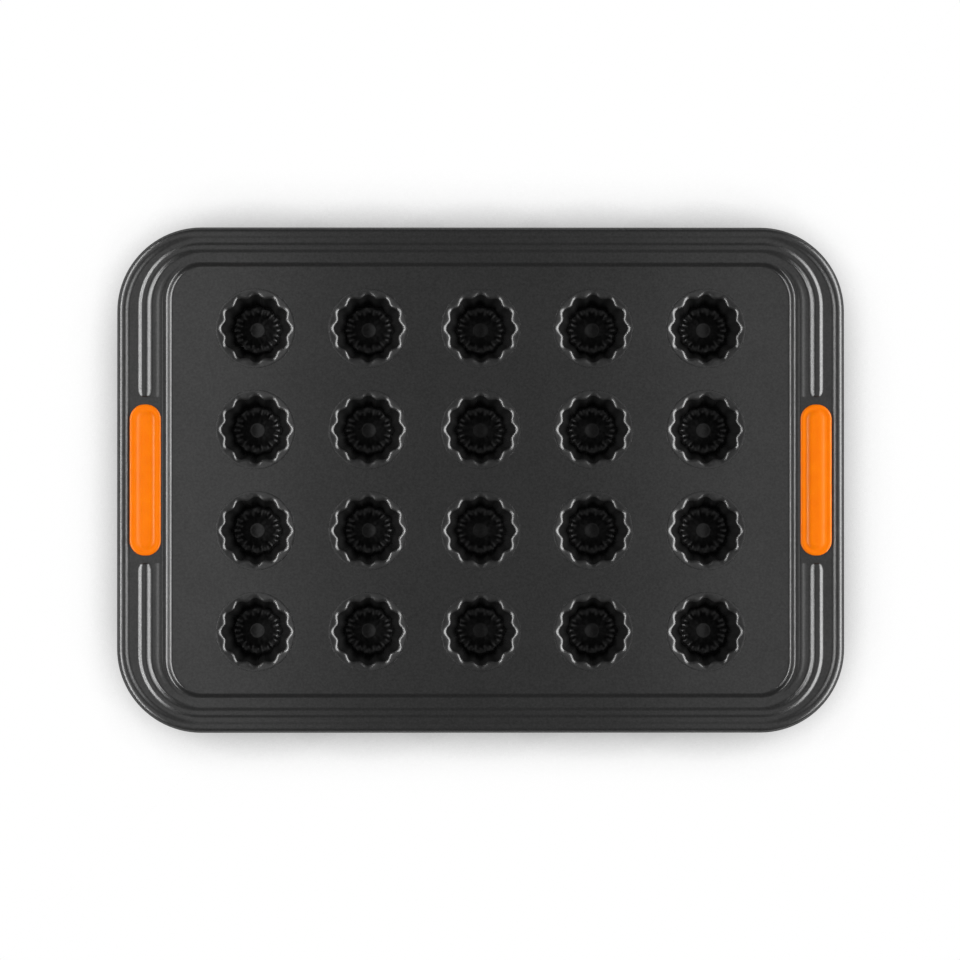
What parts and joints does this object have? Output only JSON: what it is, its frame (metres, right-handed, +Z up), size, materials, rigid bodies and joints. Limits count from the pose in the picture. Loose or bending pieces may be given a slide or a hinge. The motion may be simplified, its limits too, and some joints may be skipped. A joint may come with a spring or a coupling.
{
  "type": "canele pan",
  "caption": "Oblong coated steel baking pan with a grid of deep fluted canele cups in a sunken deck, a beaded flange with a rolled edge, and a silicone grip at each end.",
  "frame": {"origin": "on the surface the cups stand on, under the middle of the pan", "axes": "+X along the length, +Y across the width, +Z up out of the cups"},
  "size_m": [0.4022, 0.2796, 0.0364],
  "materials": {
    "coat": "satin non-stick coat",
    "silicone": "satin silicone",
    "wire": "drawn steel wire"
  },
  "bodies": {
    "root": {"tray": "coat", "rim_wire": "wire", "cup_r1_c1": "coat", "cup_r1_c2": "coat", "cup_r1_c3": "coat", "cup_r1_c4": "coat", "cup_r1_c5": "coat", "cup_r2_c1": "coat", "cup_r2_c2": "coat", "cup_r2_c3": "coat", "cup_r2_c4": "coat", "cup_r2_c5": "coat", "cup_r3_c1": "coat", "cup_r3_c2": "coat", "cup_r3_c3": "coat", "cup_r3_c4": "coat", "cup_r3_c5": "coat", "cup_r4_c1": "coat", "cup_r4_c2": "coat", "cup_r4_c3": "coat", "cup_r4_c4": "coat", "cup_r4_c5": "coat", "grip_left": "silicone", "grip_right": "silicone"}
  },
  "joints": []
}
